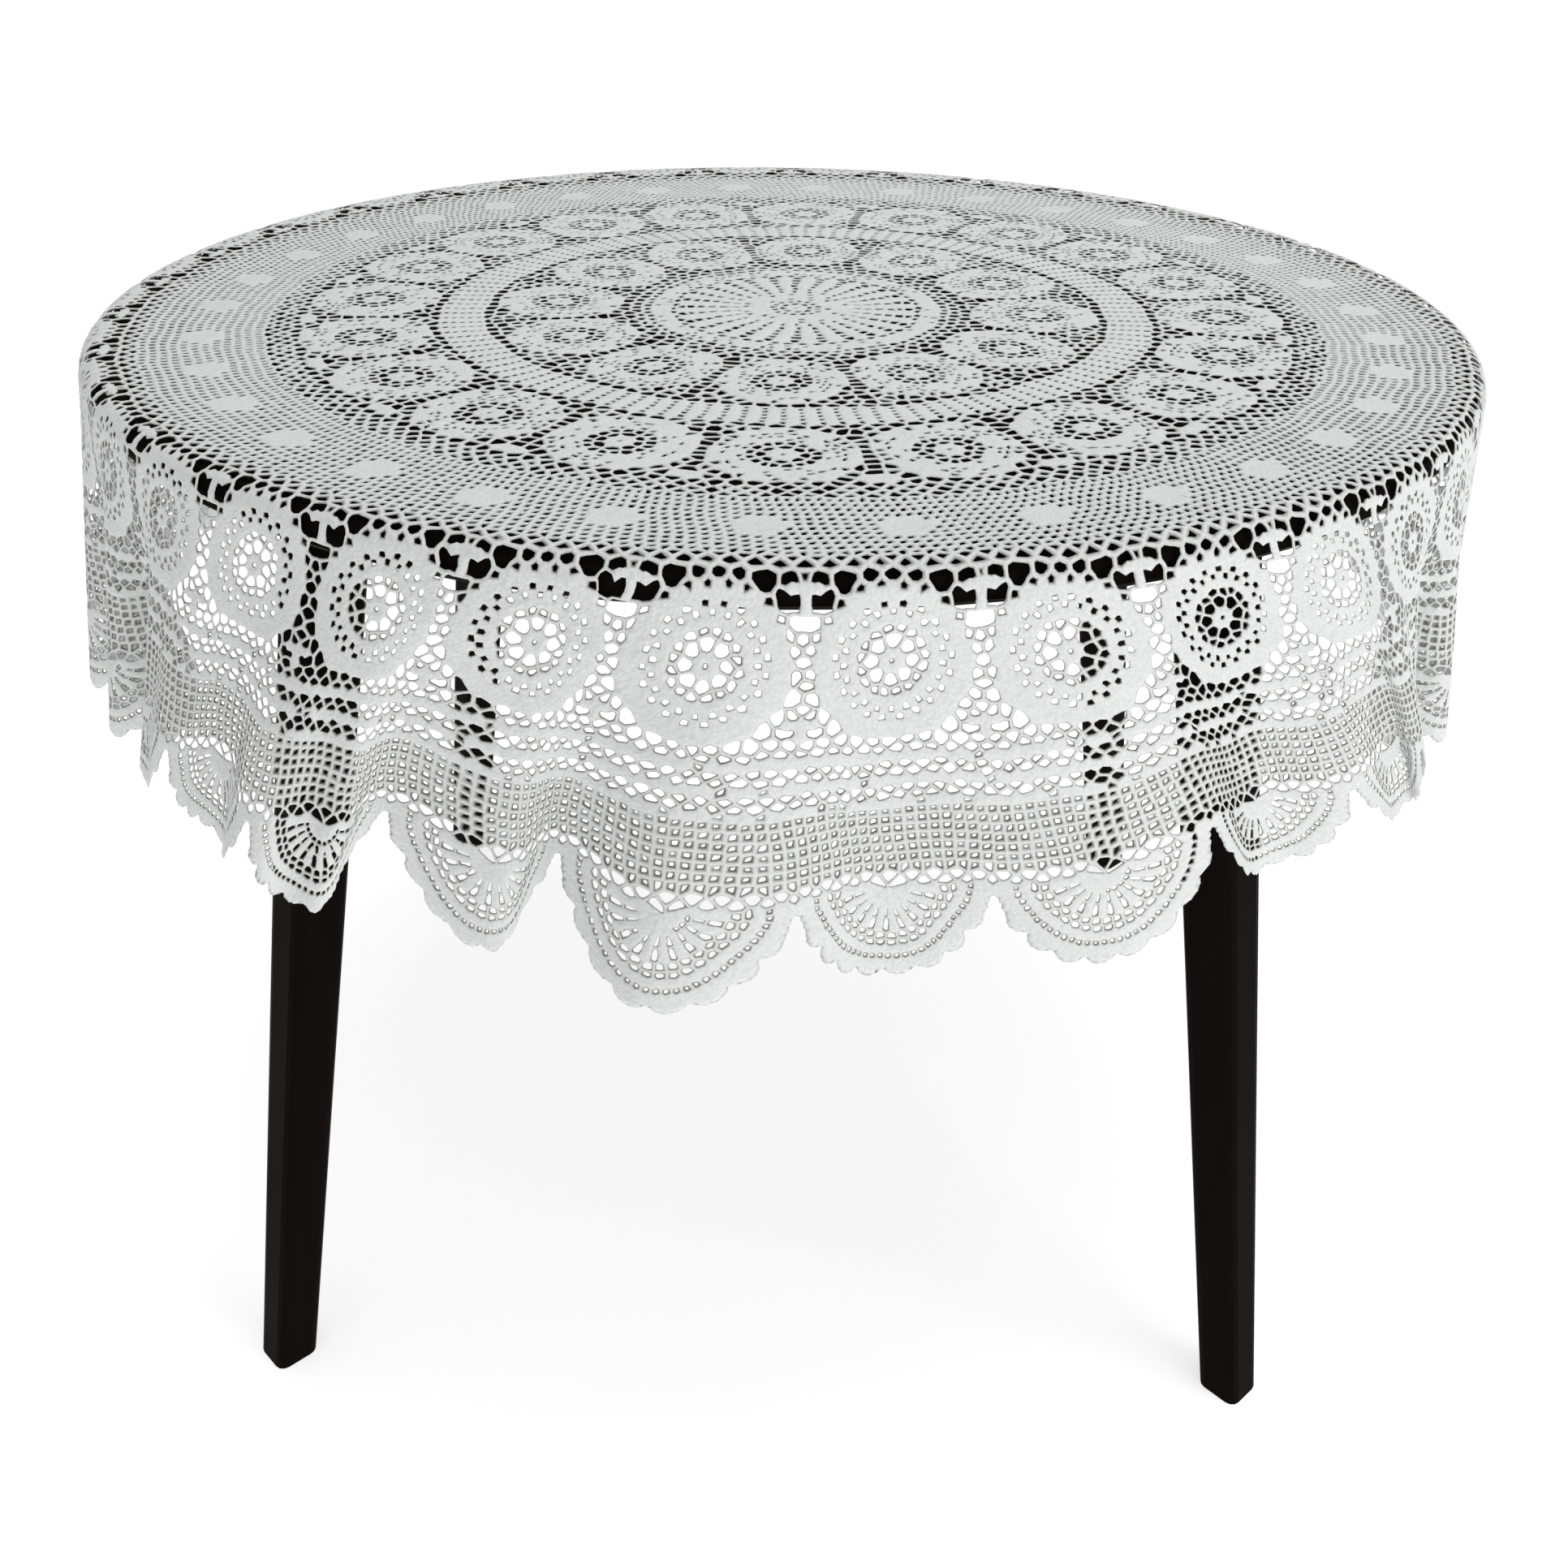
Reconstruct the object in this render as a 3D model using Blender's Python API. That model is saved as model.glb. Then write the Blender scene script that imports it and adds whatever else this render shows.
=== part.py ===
"""A round crochet tablecloth draped over the round four-legged table that it lies on.

Metres, +Z up, the viewer on the -Y side. The flat cloth is a disc with one scallop for each repeat
of its pattern. It is cut out flat, with the widest gaps of its netting, and then draped: it lies on
the top, bends over the edge, and its fullness hangs in one fold for each scallop.
"""

import math

import bmesh
import bpy
import numpy as np
from mathutils import Matrix, Vector
from mathutils.geometry import delaunay_2d_cdt

# Table
TABLE_HEIGHT = 0.742
TABLE_RADIUS = 0.500
TOP_THICKNESS = 0.025
TOP_EDGE_ROUND = 0.010
TOP_SEGMENTS = 72
EDGE_STEPS = 3
LEG_SPACING = 0.277  # from the table's axes to a leg's centre, under the top
LEG_SPLAY = 0.0968  # how much further out a foot stands, along X and along Y
LEG_SIDE_TOP = 0.048
LEG_SIDE_FOOT = 0.034
LEG_CORNER = 0.22  # corner radius as a share of the side
CORNER_STEPS = 3
LEG_TURN = -1.7  # the legs' layout about Z, in degrees
SEAT_GAP = 0.0003
SHARP_ANGLE = 40.0  # two faces that meet at more than this are shaded as an edge, in degrees
MERGE_DISTANCE = 0.00001

# Cloth
REPEATS = 34
REPEAT_ANGLE = 360.0 / REPEATS
FIRST_TIP = 5.8  # azimuth of a scallop's tip, from the viewer's side towards +X, in degrees
CLOTH_THICKNESS = 0.002
CLOTH_SLIP = (0.0085, -0.0195)  # the cloth's centre lies this far off the table's
NOTCH_RADIUS = 0.683  # the flat cloth between two scallops
TIP_RADIUS = 0.7445  # and at a scallop's tip
SCALLOP_BREADTH = 2.2  # powers that give a scallop its outline, broader as this one grows
SCALLOP_FULLNESS = 0.75  # and fuller at its sides as this one falls
FLAT_RADIUS = 0.750
FLAT_LIFT = SEAT_GAP + CLOTH_THICKNESS / 2  # from the top to the middle of the cloth
EDGE_LIFT = 0.0033  # the same where the cloth bends over the edge
RISE_WIDTH = 0.060
BEND_RADIUS = 0.014
BEND_OVERHANG = 0.004  # how far past the table's edge the cloth starts to hang
BEND_START = TABLE_RADIUS + BEND_OVERHANG - BEND_RADIUS
BEND_LENGTH = BEND_RADIUS * math.pi / 2
FOLD_STEPS = 48
FOLD_EASE = (-0.15, 0.75)  # where the folds start and where they are full, as shares of the drop
ROOM_RADIUS = TABLE_RADIUS + 0.020  # where the room that a scallop's width has to fit in is taken
SWAY_GAIN = 1.2  # how much of its spare width a fold lays sideways, in an S
SWAY_LIMIT = 0.8
LEAST_FALL = 0.02  # share of a step that still goes down where a fold sweeps sideways

# One row for each scallop and the valley after it, anticlockwise from the back as seen from above.
# turn: how far its tip has swung sideways at the hem, in degrees.
# out: how far its tip stands out past the table's edge, in mm.
# lean: how far the valley after it leans sideways, in degrees.
# tuck: how deep that valley is, as a share of what its width allows. Below 0 it stands out.
FOLD_COLUMNS = ("turn", "out", "lean", "tuck")
FIRST_FOLD = -17
FOLDS = (
    (0.6, 18, 0.8, 1.0),
    (-0.4, 9, -1.5, 0.9),
    (0.2, 22, 1.2, 1.0),
    (-1.0, 12, 0.0, 0.8),
    (-0.6, 26, -1.8, 1.0),
    (-1.5, 14, 1.0, 1.0),
    (-1.2, 24, 0.6, 0.8),
    (-2.6, 20, -1.2, 1.0),
    (-2.4, 34, 1.0, 1.0),
    (-4.0, 27, -1.0, 1.0),
    (-4.4, 38, 0.5, 1.0),
    (-6.2, 30, -1.1, 1.0),
    (-8.6, 26, 1.0, -0.3),
    (-8.9, 17, 1.9, -0.7),
    (-7.7, 29, -4.5, 0.7),
    (-5.7, 3, -3.0, 1.0),
    (-3.8, 28, 1.3, 1.0),
    (1.3, -15, -0.2, 1.3),
    (6.5, 13, 2.6, 1.0),
    (11.0, -2, 0.0, -0.6),
    (13.2, 29, -1.2, -0.3),
    (10.2, 14, 1.1, 0.9),
    (8.2, 26, -0.8, 1.0),
    (5.6, 16, 0.9, 0.9),
    (4.6, 28, -1.4, 1.0),
    (2.8, 14, 0.4, 0.9),
    (3.0, 24, 1.3, 1.0),
    (1.2, 10, -0.6, 0.8),
    (1.8, 23, -1.3, 1.0),
    (0.4, 13, 1.1, 1.0),
    (1.0, 25, 0.2, 0.9),
    (-0.4, 8, -1.0, 1.0),
    (0.8, 20, 1.4, 0.8),
    (-0.2, 12, -0.4, 1.0),
)

# The widest gaps of one repeat: how far from the scallop's middle line the gap's centre lies, in
# repeats, its distance from the cloth's centre, half its width and half its height, and its corners.
GAP_COLUMNS = ("across", "radius", "half_width", "half_height", "corners")
GAPS = (
    (0.500, 0.5075, 0.0088, 0.0046, 6),
    (0.408, 0.4935, 0.0056, 0.0046, 4),
    (0.592, 0.4935, 0.0056, 0.0046, 4),
    (0.280, 0.4830, 0.0056, 0.0046, 6),
    (0.720, 0.4830, 0.0056, 0.0046, 6),
    (0.330, 0.5735, 0.0056, 0.0044, 4),
    (0.670, 0.5735, 0.0056, 0.0044, 4),
)

# Where the flat cloth gets points: rows about the table's centre for the top and the bend over its
# edge, and rows about the cloth's own centre for the folds, with their places across a repeat.
EDGE_ROWS = (
    (-RISE_WIDTH, 34),
    (0.0, 68),
    (BEND_LENGTH / 3, 68),
    (BEND_LENGTH * 2 / 3, 68),
    (BEND_LENGTH, 102),
)
FOLD_ROWS = (
    (0.538, (0.0, 0.25, 0.5, 0.75)),
    (0.598, (0.0, 0.2, 0.36, 0.5, 0.64, 0.8)),
    (0.638, (0.0, 0.2, 0.36, 0.5, 0.64, 0.8)),
    (0.668, (0.0, 0.2, 0.36, 0.5, 0.64, 0.8)),
)
HEM_PLACES = (-0.5, -0.43, -0.30, -0.15, 0.0, 0.15, 0.30, 0.43)
BEND_SPREAD = 3.0  # added to the length of the bend while the triangles are laid
CLEAR_OF_GAP = 0.0015
CLEAR_ON_EDGE = 0.0050  # between the points on the bend over the edge
CLEAR_BELOW = 0.0080  # and between those below it
LAYING_TOLERANCE = 0.000001

COLOURS = {
    "lacquer": ((0.012, 0.010, 0.009), 0.38),
    "yarn": ((0.80, 0.82, 0.80), 0.85),
}


def clear_scene():
    for item in list(bpy.data.objects):
        bpy.data.objects.remove(item, do_unlink=True)


def make_material(name):
    colour, roughness = COLOURS[name]
    material = bpy.data.materials.new(name)
    material.use_nodes = True
    shader = material.node_tree.nodes["Principled BSDF"]
    shader.inputs["Base Color"].default_value = (*colour, 1.0)
    shader.inputs["Roughness"].default_value = roughness
    shader.inputs["Metallic"].default_value = 0.0
    return material


def make_object(name, shape, material, parent):
    mesh = bpy.data.meshes.new(name)
    bmesh.ops.recalc_face_normals(shape, faces=shape.faces)
    shape.to_mesh(mesh)
    shape.free()
    mesh.materials.append(material)
    mesh.shade_smooth()
    mesh.set_sharp_from_angle(angle=math.radians(SHARP_ANGLE))
    item = bpy.data.objects.new(name, mesh)
    item.parent = parent
    bpy.context.collection.objects.link(item)
    return item


def rounded_edge(radius, top, thickness, round_size):
    """The profile of a disc's edge from its upper face to its lower one, as (distance, height)."""
    points = []
    for lower in (False, True):
        for step in range(EDGE_STEPS + 1):
            angle = math.radians(90.0 * step / EDGE_STEPS)
            if lower:
                angle += math.pi / 2
            centre_z = top - thickness + round_size if lower else top - round_size
            points.append(
                (
                    radius - round_size + round_size * math.sin(angle),
                    centre_z + round_size * math.cos(angle),
                )
            )
    return points


def build_table_top(material, parent):
    shape = bmesh.new()
    profile = rounded_edge(TABLE_RADIUS, TABLE_HEIGHT, TOP_THICKNESS, TOP_EDGE_ROUND)
    corners = [shape.verts.new((distance, 0.0, height)) for distance, height in profile]
    edges = [shape.edges.new(pair) for pair in zip(corners, corners[1:])]
    bmesh.ops.spin(
        shape,
        geom=corners + edges,
        axis=(0, 0, 1),
        cent=(0, 0, 0),
        angle=math.tau,
        steps=TOP_SEGMENTS,
        use_duplicate=False,
    )
    bmesh.ops.remove_doubles(shape, verts=shape.verts, dist=MERGE_DISTANCE)
    rims = [edge for edge in shape.edges if edge.is_boundary]
    bmesh.ops.holes_fill(shape, edges=rims, sides=0)
    return make_object("table_top", shape, material, parent)


def leg_section(shape, side, centre, height):
    """A square with round corners, one corner towards the viewer."""
    corner = side * LEG_CORNER
    reach = (side / 2 - corner) * math.sqrt(2)
    ring = []
    for quarter in range(4):
        middle = math.radians(90.0 * quarter)
        for step in range(CORNER_STEPS + 1):
            angle = middle + math.radians(90.0 * step / CORNER_STEPS - 45.0)
            x = centre[0] + reach * math.cos(middle) + corner * math.cos(angle)
            y = centre[1] + reach * math.sin(middle) + corner * math.sin(angle)
            ring.append(shape.verts.new((x, y, height)))
    return ring


def build_leg(name, side_x, side_y, material, parent):
    shape = bmesh.new()
    top = (side_x * LEG_SPACING, side_y * LEG_SPACING)
    foot = (top[0] + side_x * LEG_SPLAY, top[1] + side_y * LEG_SPLAY)
    upper = leg_section(shape, LEG_SIDE_TOP, top, TABLE_HEIGHT - TOP_THICKNESS - SEAT_GAP)
    lower = leg_section(shape, LEG_SIDE_FOOT, foot, 0.0)
    for place in range(len(upper)):
        before = place - 1
        shape.faces.new((upper[before], upper[place], lower[place], lower[before]))
    shape.faces.new(upper)
    shape.faces.new(lower)
    layout = Matrix.Rotation(math.radians(LEG_TURN), 3, "Z")
    bmesh.ops.rotate(shape, verts=shape.verts, cent=(0, 0, 0), matrix=layout)
    return make_object(name, shape, material, parent)


def fold_column(name):
    place = FOLD_COLUMNS.index(name)
    rows = [FOLDS[(scallop - FIRST_FOLD) % REPEATS][place] for scallop in range(REPEATS)]
    return np.array(rows, float)


def smooth_step(low, high, value):
    share = np.clip((value - low) / (high - low), 0.0, 1.0)
    return share * share * (3.0 - 2.0 * share)


def drape(flat_x, flat_y):
    """Where points of the flat cloth, about its own centre, come to hang."""
    turns = fold_column("turn")
    outs = fold_column("out") / 1000.0
    leans = fold_column("lean")
    tucks = fold_column("tuck")
    flat_x = np.asarray(flat_x, float)
    flat_y = np.asarray(flat_y, float)
    from_centre = np.hypot(flat_x, flat_y)
    place = (np.degrees(np.arctan2(flat_x, -flat_y)) - FIRST_TIP) / REPEAT_ANGLE
    before = np.floor(place).astype(int)
    across = place - before
    here = before % REPEATS
    after = (before + 1) % REPEATS

    table_x = flat_x + CLOTH_SLIP[0]
    table_y = flat_y + CLOTH_SLIP[1]
    from_axis = np.hypot(table_x, table_y)
    azimuth = np.arctan2(table_x, -table_y)
    past_start = from_axis - BEND_START
    bend = np.clip(past_start, 0.0, BEND_LENGTH) / BEND_RADIUS
    reach = np.where(past_start < 0.0, from_axis, BEND_START + BEND_RADIUS * np.sin(bend))
    lift = FLAT_LIFT + (EDGE_LIFT - FLAT_LIFT) * smooth_step(-RISE_WIDTH, 0.0, past_start)
    height = lift - BEND_RADIUS * (1.0 - np.cos(bend))
    drop = np.clip(past_start - BEND_LENGTH, 0.0, None)
    dip = (1.0 - np.cos(math.tau * across)) / 2.0
    blend = across * across * (3.0 - 2.0 * across)
    stand = (1.0 - blend) * outs[here] + blend * outs[after]
    turn = (1.0 - across) * turns[here] + across * turns[after]
    ease_start = smooth_step(*FOLD_EASE, 0.0)

    def folded(down):
        """How far the cloth stands out, and its azimuth, at a length below the bend."""
        share = down / (FLAT_RADIUS - TABLE_RADIUS)
        cloth_width = (from_centre - drop + down) * math.radians(REPEAT_ANGLE)
        cloth_width = np.maximum(cloth_width, CLOTH_THICKNESS)
        room_angle = REPEAT_ANGLE + share * (turns[after] - turns[here])
        room = np.radians(room_angle) * ROOM_RADIUS
        depth = tucks[here] * np.sqrt(np.clip(cloth_width**2 - room**2, 0.0, None)) / 2.0
        ease = smooth_step(*FOLD_EASE, share) - ease_start * (1.0 - share)
        out = stand * share - depth * np.clip(ease, 0.0, 1.0) * dip
        slack = np.clip(SWAY_GAIN * (1.0 - room / cloth_width), 0.0, SWAY_LIMIT)
        sway = slack * room_angle * np.sin(2.0 * math.tau * across) / (2.0 * math.tau)
        swing = share * (turn + leans[here] * dip) + sway
        return out, azimuth + np.radians(swing)

    step = drop / FOLD_STEPS
    out, angle = folded(drop * 0.0)
    for count in range(FOLD_STEPS):
        next_out, next_angle = folded(step * (count + 1))
        sideways = (next_angle - angle) * (reach + next_out)
        fall = step**2 - (next_out - out) ** 2 - sideways**2
        height = height - np.sqrt(np.clip(fall, LEAST_FALL * step**2, None))
        out, angle = next_out, next_angle
    distance = reach + out
    return np.stack(
        [distance * np.sin(angle), -distance * np.cos(angle), TABLE_HEIGHT + height], axis=-1
    )


def flat_point(radius, angle):
    return Vector((radius * math.sin(math.radians(angle)), -radius * math.cos(math.radians(angle))))


def spread(point):
    """The flat cloth with its bend over the edge drawn out, where its triangles are laid."""
    from_table = point + Vector(CLOTH_SLIP)
    distance = from_table.length
    bend = min(max(distance - BEND_START, 0.0), BEND_LENGTH)
    return from_table * ((distance + bend * BEND_SPREAD) / max(distance, CLOTH_THICKNESS))


def unspread(point):
    distance = point.length
    past_start = distance - BEND_START
    drawn_out = BEND_LENGTH * (1.0 + BEND_SPREAD)
    extra = min(max(past_start, 0.0), drawn_out) * BEND_SPREAD / (1.0 + BEND_SPREAD)
    return point * ((distance - extra) / max(distance, CLOTH_THICKNESS)) - Vector(CLOTH_SLIP)


def hem_radius(place):
    """The flat cloth's edge across a scallop, from -0.5 to 0.5."""
    swell = (1.0 - abs(2.0 * place) ** SCALLOP_BREADTH) ** SCALLOP_FULLNESS
    return NOTCH_RADIUS + (TIP_RADIUS - NOTCH_RADIUS) * swell


def gap_outline(scallop, gap):
    """A gap's corners on the flat cloth: four lie square to the cloth's edge, six end in points."""
    row = dict(zip(GAP_COLUMNS, gap))
    centre_angle = FIRST_TIP + (scallop + row["across"]) * REPEAT_ANGLE
    outward = flat_point(1.0, centre_angle)
    sideways = Vector((-outward.y, outward.x))
    centre = flat_point(row["radius"], centre_angle)
    count = row["corners"]
    first = math.pi / count if count == 4 else 0.0
    widen = 1.0 / math.cos(math.pi / count)
    corners = []
    for number in range(count):
        angle = first + math.tau * number / count
        x = row["half_width"] * math.cos(angle) * widen
        y = row["half_height"] * math.sin(angle) * widen
        corners.append(centre + sideways * x + outward * y)
    return corners


def cloth_points():
    """The flat cloth's outlines, each a list of points, and its free points."""
    hem = []
    gaps = []
    for scallop in range(REPEATS):
        for place in HEM_PLACES:
            hem.append(flat_point(hem_radius(place), FIRST_TIP + (scallop + place) * REPEAT_ANGLE))
        gaps.extend(gap_outline(scallop, gap) for gap in GAPS)
    centres = [sum(gap, Vector((0.0, 0.0))) / len(gap) for gap in gaps]
    corners = [corner for gap in gaps for corner in gap]
    taken = np.array([tuple(point) for point in corners + hem])
    middles = np.array([tuple(point) for point in centres])
    reaches = [(gap[0] - centre).length + CLEAR_OF_GAP for gap, centre in zip(gaps, centres)]
    free = [Vector((0.0, 0.0))]

    def add(point, clear):
        nonlocal taken
        here = np.array(tuple(point))
        beside = np.hypot(*(taken - here).T).min()
        from_gaps = np.hypot(*(middles - here).T) - reaches
        if beside > clear and from_gaps.min() > 0.0:
            free.append(point)
            taken = np.vstack([taken, here])

    slip = Vector(CLOTH_SLIP)
    for length, count in EDGE_ROWS:
        for number in range(count):
            angle = FIRST_TIP + 360.0 * number / count
            add(flat_point(BEND_START + length, angle) - slip, CLEAR_ON_EDGE)
    for radius, places in FOLD_ROWS:
        for scallop in range(REPEATS):
            for place in places:
                angle = FIRST_TIP + (scallop + place) * REPEAT_ANGLE
                add(flat_point(radius, angle), CLEAR_BELOW)
    return hem, gaps, free


def inside(point, outline):
    crossings = 0
    for first, second in zip(outline, outline[1:] + outline[:1]):
        if (first.y > point.y) != (second.y > point.y):
            share = (point.y - first.y) / (second.y - first.y)
            crossings += point.x < first.x + share * (second.x - first.x)
    return crossings % 2 == 1


def build_cloth(material, parent):
    hem, gaps, free = cloth_points()
    hem = [spread(point) for point in hem]
    gaps = [[spread(point) for point in gap] for gap in gaps]
    points = []
    outlines = []
    for outline in [hem] + gaps:
        first = len(points)
        points.extend(outline)
        count = len(outline)
        outlines.extend((first + n, first + (n + 1) % count) for n in range(count))
    points.extend(spread(point) for point in free)
    laid, _, triangles, _, _, _ = delaunay_2d_cdt(points, outlines, [], 0, LAYING_TOLERANCE)
    centres = np.array([tuple(sum(gap, Vector((0.0, 0.0))) / len(gap)) for gap in gaps])

    kept = []
    for triangle in triangles:
        middle = sum((laid[n] for n in triangle), Vector((0.0, 0.0))) / 3.0
        nearest = int(np.hypot(*(centres - np.array(tuple(middle))).T).argmin())
        near_edge = middle.length > NOTCH_RADIUS
        if inside(middle, gaps[nearest]) or (near_edge and not inside(middle, hem)):
            continue
        kept.append(triangle)

    flat = [unspread(point) for point in laid]
    hung = drape([point.x for point in flat], [point.y for point in flat])
    shape = bmesh.new()
    corners = [shape.verts.new(tuple(place)) for place in hung]
    for triangle in kept:
        shape.faces.new([corners[n] for n in triangle])
    loose = [corner for corner in shape.verts if not corner.link_faces]
    bmesh.ops.delete(shape, geom=loose, context="VERTS")
    item = make_object("cloth", shape, material, parent)
    sheet = item.modifiers.new("sheet", "SOLIDIFY")
    sheet.thickness = CLOTH_THICKNESS
    sheet.offset = 0.0
    return item


def centre_on_floor(items, base):
    """Moves all by their parent, so that the middle of the outer box's underside is the origin."""
    bpy.context.view_layer.update()
    graph = bpy.context.evaluated_depsgraph_get()
    places = []
    for item in items:
        mesh = item.evaluated_get(graph).to_mesh()
        places.extend(tuple(item.matrix_world @ vertex.co) for vertex in mesh.vertices)
    low = np.min(places, axis=0)
    high = np.max(places, axis=0)
    middle = (low + high) / 2.0
    base.location = (-middle[0], -middle[1], -low[2])
    bpy.context.view_layer.update()


clear_scene()
base = bpy.data.objects.new("table_and_cloth", None)
bpy.context.collection.objects.link(base)
lacquer = make_material("lacquer")
yarn = make_material("yarn")
parts = [build_table_top(lacquer, base)]
for side_y, end in ((-1, "front"), (1, "rear")):
    for side_x, side in ((-1, "left"), (1, "right")):
        parts.append(build_leg(f"leg_{end}_{side}", side_x, side_y, lacquer, base))
parts.append(build_cloth(yarn, base))
centre_on_floor(parts, base)
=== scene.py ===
import bpy
import math
import random
from collections import namedtuple
import numpy as np
from mathutils import Matrix, Vector
from mathutils.geometry import delaunay_2d_cdt


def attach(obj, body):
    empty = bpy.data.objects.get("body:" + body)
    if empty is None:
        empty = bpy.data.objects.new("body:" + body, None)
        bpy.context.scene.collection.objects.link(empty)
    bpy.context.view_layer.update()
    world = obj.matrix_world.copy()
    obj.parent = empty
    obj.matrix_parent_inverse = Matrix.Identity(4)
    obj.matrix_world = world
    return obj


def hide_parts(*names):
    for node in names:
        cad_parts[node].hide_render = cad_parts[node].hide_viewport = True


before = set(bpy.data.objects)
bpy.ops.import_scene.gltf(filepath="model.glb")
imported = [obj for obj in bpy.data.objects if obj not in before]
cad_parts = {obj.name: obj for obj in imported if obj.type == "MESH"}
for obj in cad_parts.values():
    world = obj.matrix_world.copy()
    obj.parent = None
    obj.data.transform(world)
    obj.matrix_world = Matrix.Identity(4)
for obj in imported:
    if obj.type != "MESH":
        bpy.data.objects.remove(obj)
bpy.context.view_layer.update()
mm = 0.001
tau = math.tau
print("frame loaded:", ", ".join(sorted(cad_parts)))


def deselectAll():
    for thing in bpy.context.selected_objects:
        thing.select_set(False)


# Camera: the photograph's angle, from in front and a little above the table
tableCentre = Vector((0.0035, 0.0052, 0.0))
view = {
    "photoWidth": 1932, "focalPixels": 2059.0, "sensor": 36.0,
    "fromTable": Vector((0.0, -1.2745, 1.0845)),
    "pitch": 31.1, "roll": 0.96, "yaw": 0.25,       # degrees
}


def makeCamera():
    pitch, roll, yaw = (math.radians(view[name]) for name in ("pitch", "roll", "yaw"))
    ahead = Vector((math.sin(yaw) * math.cos(pitch), math.cos(yaw) * math.cos(pitch), -math.sin(pitch)))
    level = Vector((math.cos(yaw), -math.sin(yaw), 0.0))
    upright = level.cross(ahead)
    right = math.cos(roll) * level + math.sin(roll) * upright
    up = math.cos(roll) * upright - math.sin(roll) * level
    deselectAll()
    bpy.ops.object.camera_add()
    camera = bpy.context.object
    camera.name = "photo_camera"
    camera.data.sensor_width = view["sensor"]
    camera.data.lens = view["focalPixels"] * view["sensor"] / view["photoWidth"]
    turned = Matrix((right, up, -ahead)).transposed().to_4x4()
    camera.matrix_world = Matrix.Translation(tableCentre + view["fromTable"]) @ turned
    bpy.context.scene.camera = camera


makeCamera()
print("camera placed")


# A shader socket that takes part in sums, and that adds any other node
class Wire:
    def __init__(self, tree, socket):
        self.tree = tree
        self.socket = socket

    def node(self, kind, settings=None, inputs=None, output=0):
        made = self.tree.nodes.new(kind)
        for name, value in (settings or {}).items():
            setattr(made, name, value)
        for name, value in (inputs or {}).items():
            if isinstance(value, Wire):
                self.tree.links.new(value.socket, made.inputs[name])
            else:
                made.inputs[name].default_value = value
        return Wire(self.tree, made.outputs[output])

    def maths(self, operation, first, second, clamp=False):
        settings = {"operation": operation, "use_clamp": clamp}
        return self.node("ShaderNodeMath", settings, {0: first, 1: second})

    def __add__(self, other):
        return self.maths("ADD", self, other)

    def __radd__(self, other):
        return self.maths("ADD", other, self)

    def __sub__(self, other):
        return self.maths("SUBTRACT", self, other)

    def __rsub__(self, other):
        return self.maths("SUBTRACT", other, self)

    def __mul__(self, other):
        return self.maths("MULTIPLY", self, other)

    def __rmul__(self, other):
        return self.maths("MULTIPLY", other, self)


def newMaterial(name):
    material = bpy.data.materials.new(name)
    material.use_nodes = True
    shader = material.node_tree.nodes["Principled BSDF"]
    return material, shader, Wire(material.node_tree, shader.outputs[0])


def blendColours(wire, share, first, second):
    return wire.node("ShaderNodeMix", {"data_type": "RGBA"}, {0: share, 6: first, 7: second}, 2)


def feed(shader, name, wire):
    wire.tree.links.new(wire.socket, shader.inputs[name])


def feedBump(shader, height, strength, distance):
    inputs = {"Height": height, "Strength": strength, "Distance": distance}
    feed(shader, "Normal", height.node("ShaderNodeBump", {}, inputs))


# White cotton: short stitches, a little fluff, and yarn that is never quite one white, painted darker in the
# dips between stitches and towards the hole rims as shade
cotton = {
    "light": (0.87, 0.885, 0.875, 1.0), "shade": (0.70, 0.715, 0.705, 1.0),
    # the darkest colour here is painted shade, laid towards the hole rims
    "paintedRimShade": (0.22, 0.205, 0.19, 1.0), "paintedRimShadeShare": 0.85, "paintedRimShadePower": 1.8,
    "roughness": 0.86, "sheen": 0.15, "sheenRoughness": 0.5,
    "stitchesPerMetre": 430.0, "stitchBlend": 0.6, "stitchShade": 0.75,
    "fluffPerMetre": 1700.0, "fluffDetail": 2.0, "fluffHeight": 0.5,
    "mottlePerMetre": 26.0, "mottleDetail": 3.0, "mottleShade": 0.5, "shadeFrom": -0.2,
    "stitchDepth": 0.75, "bumpDistance": 0.7 * mm,
}


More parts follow.
